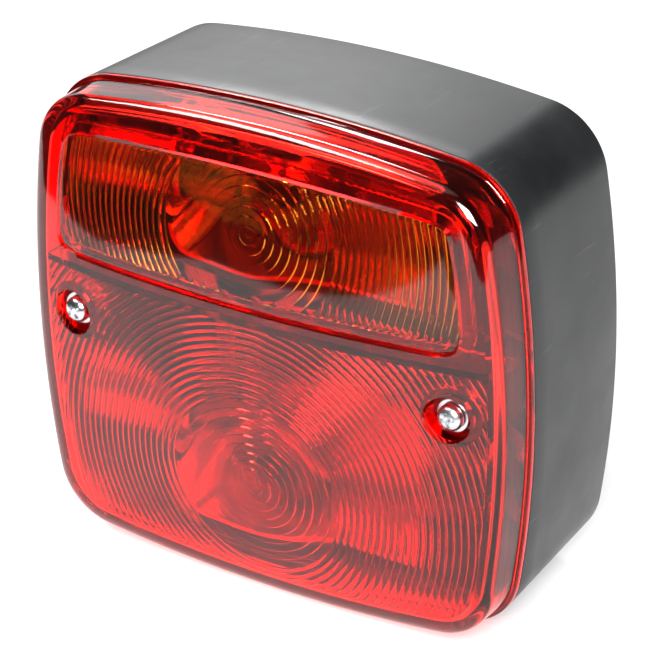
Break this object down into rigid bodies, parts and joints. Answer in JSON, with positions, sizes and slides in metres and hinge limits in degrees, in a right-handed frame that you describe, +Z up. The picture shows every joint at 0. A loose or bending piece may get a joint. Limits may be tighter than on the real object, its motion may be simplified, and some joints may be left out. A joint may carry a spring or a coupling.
{
  "type": "trailer tail light",
  "caption": "Square trailer tail light: black tapered housing, screwed-on red lens with an amber indicator window, and a bayonet bulb behind each colour.",
  "frame": {"origin": "middle of the flat back face that bolts to the trailer", "axes": "+Z up, +Y out of the back face towards the trailer, so the lens looks along -Y, +X to the right facing the lens"},
  "size_m": [0.11, 0.0684, 0.1024],
  "materials": {
    "black_abs": "moulded black ABS, satin",
    "red_acrylic": "moulded clear red acrylic, polished",
    "amber_acrylic": "moulded clear amber acrylic, polished",
    "rubber": "black rubber, matt",
    "metallised_plastic": "vacuum metallised plastic, bright",
    "zinc_plated_steel": "pressed steel, bright zinc plate",
    "brass": "plain brass",
    "bulb_glass": "clear blown glass",
    "tungsten": "drawn wire",
    "fibre_board": "pressed fibre board",
    "spring_steel": "drawn spring wire and strip"
  },
  "bodies": {
    "housing": {"bulb_holder_lower": "zinc_plated_steel", "bulb_holder_upper": "zinc_plated_steel", "cable_grommet": "rubber", "chamber_partition": "black_abs", "contact_insulator_lower": "fibre_board", "contact_insulator_upper": "fibre_board", "contact_spring_indicator": "spring_steel", "contact_spring_stop": "spring_steel", "contact_spring_tail": "spring_steel", "contact_strip_indicator": "brass", "contact_strip_stop": "brass", "contact_strip_tail": "brass", "earth_strip": "brass", "holder_screw_lower": "zinc_plated_steel", "holder_screw_upper": "zinc_plated_steel", "housing": "black_abs", "lens_gasket": "rubber", "mounting_stud_left": "zinc_plated_steel", "mounting_stud_right": "zinc_plated_steel", "reflector_lower": "metallised_plastic", "reflector_upper": "metallised_plastic"},
    "lens": {"lens_red": "red_acrylic", "lens_amber": "amber_acrylic"},
    "lens_washer_left": {"lens_washer_left": "zinc_plated_steel"},
    "lens_screw_left": {"lens_screw_left": "zinc_plated_steel"},
    "lens_washer_right": {"lens_washer_right": "zinc_plated_steel"},
    "lens_screw_right": {"lens_screw_right": "zinc_plated_steel"},
    "bulb_upper": {"bulb_cap_upper": "brass", "bulb_glass_upper": "bulb_glass", "filament_indicator": "tungsten"},
    "bulb_lower": {"bulb_cap_lower": "brass", "bulb_glass_lower": "bulb_glass", "filament_stop": "tungsten", "filament_tail": "tungsten"},
    "plunger_indicator": {"contact_plunger_indicator": "brass"},
    "plunger_stop": {"contact_plunger_stop": "brass"},
    "plunger_tail": {"contact_plunger_tail": "brass"},
    "terminal_screw_indicator": {"terminal_screw_indicator": "zinc_plated_steel"},
    "terminal_screw_stop": {"terminal_screw_stop": "zinc_plated_steel"},
    "terminal_screw_tail": {"terminal_screw_tail": "zinc_plated_steel"},
    "terminal_screw_earth": {"terminal_screw_earth": "zinc_plated_steel"},
    "mounting_washers_left": {"mounting_washer_left": "zinc_plated_steel", "spring_washer_left": "spring_steel"},
    "mounting_nut_left": {"mounting_nut_left": "zinc_plated_steel"},
    "mounting_washers_right": {"mounting_washer_right": "zinc_plated_steel", "spring_washer_right": "spring_steel"},
    "mounting_nut_right": {"mounting_nut_right": "zinc_plated_steel"}
  },
  "joints": [
    {"name": "lens_off", "type": "slide", "parent": "housing", "child": "lens", "axis": [0, -1, 0], "range_m": [0, 0.05]},
    {"name": "washer_lift_left", "type": "slide", "parent": "lens", "child": "lens_washer_left", "axis": [0, -1, 0], "range_m": [0, 0.0078]},
    {"name": "screw_turn_left", "type": "hinge", "parent": "lens_washer_left", "child": "lens_screw_left", "pos_m": [-0.0429, -0.045, 0.0014], "axis": [0, -1, 0], "range_deg": [0, 2161]},
    {"name": "washer_lift_right", "type": "slide", "parent": "lens", "child": "lens_washer_right", "axis": [0, -1, 0], "range_m": [0, 0.0078]},
    {"name": "screw_turn_right", "type": "hinge", "parent": "lens_washer_right", "child": "lens_screw_right", "pos_m": [0.0429, -0.045, 0.0014], "axis": [0, -1, 0], "range_deg": [0, 2161]},
    {"name": "bulb_turn_upper", "type": "hinge", "parent": "housing", "child": "bulb_upper", "pos_m": [0, -0.025, 0.0285], "axis": [1, 0, 0], "range_deg": [0, 20]},
    {"name": "bulb_turn_lower", "type": "hinge", "parent": "housing", "child": "bulb_lower", "pos_m": [0, -0.025, -0.0247], "axis": [1, 0, 0], "range_deg": [0, 20]},
    {"name": "plunger_slide_indicator", "type": "slide", "parent": "housing", "child": "plunger_indicator", "axis": [-1, 0, 0], "range_m": [0, 0.0015], "stiffness_N_per_m": 400, "deforming": ["contact_spring_indicator"]},
    {"name": "plunger_slide_stop", "type": "slide", "parent": "housing", "child": "plunger_stop", "axis": [-1, 0, 0], "range_m": [0, 0.0015], "stiffness_N_per_m": 400, "deforming": ["contact_spring_stop"]},
    {"name": "plunger_slide_tail", "type": "slide", "parent": "housing", "child": "plunger_tail", "axis": [-1, 0, 0], "range_m": [0, 0.0015], "stiffness_N_per_m": 400, "deforming": ["contact_spring_tail"]},
    {"name": "terminal_turn_indicator", "type": "hinge", "parent": "housing", "child": "terminal_screw_indicator", "pos_m": [0.038, -0.0076, 0.021], "axis": [0, -1, 0], "range_deg": [0, 720]},
    {"name": "terminal_turn_stop", "type": "hinge", "parent": "housing", "child": "terminal_screw_stop", "pos_m": [0.038, -0.0076, -0.012], "axis": [0, -1, 0], "range_deg": [0, 720]},
    {"name": "terminal_turn_tail", "type": "hinge", "parent": "housing", "child": "terminal_screw_tail", "pos_m": [0.038, -0.0076, -0.026], "axis": [0, -1, 0], "range_deg": [0, 720]},
    {"name": "terminal_turn_earth", "type": "hinge", "parent": "housing", "child": "terminal_screw_earth", "pos_m": [0.038, -0.0076, -0.04], "axis": [0, -1, 0], "range_deg": [0, 720]},
    {"name": "mounting_washers_slide_left", "type": "slide", "parent": "housing", "child": "mounting_washers_left", "axis": [0, 1, 0], "range_m": [0, 0.008]},
    {"name": "mounting_nut_turn_left", "type": "hinge", "parent": "mounting_washers_left", "child": "mounting_nut_left", "pos_m": [-0.0225, 0.007, 0], "axis": [0, 1, 0], "range_deg": [0, 3601]},
    {"name": "mounting_washers_slide_right", "type": "slide", "parent": "housing", "child": "mounting_washers_right", "axis": [0, 1, 0], "range_m": [0, 0.008]},
    {"name": "mounting_nut_turn_right", "type": "hinge", "parent": "mounting_washers_right", "child": "mounting_nut_right", "pos_m": [0.0225, 0.007, 0], "axis": [0, 1, 0], "range_deg": [0, 3601]}
  ],
  "couplings": [
    {"joint": "screw_turn_left", "follows": "washer_lift_left", "rad_per_m": 4833.2},
    {"joint": "screw_turn_right", "follows": "washer_lift_right", "rad_per_m": 4833.2},
    {"joint": "mounting_nut_turn_left", "follows": "mounting_washers_slide_left", "rad_per_m": 7854},
    {"joint": "mounting_nut_turn_right", "follows": "mounting_washers_slide_right", "rad_per_m": 7854}
  ]
}
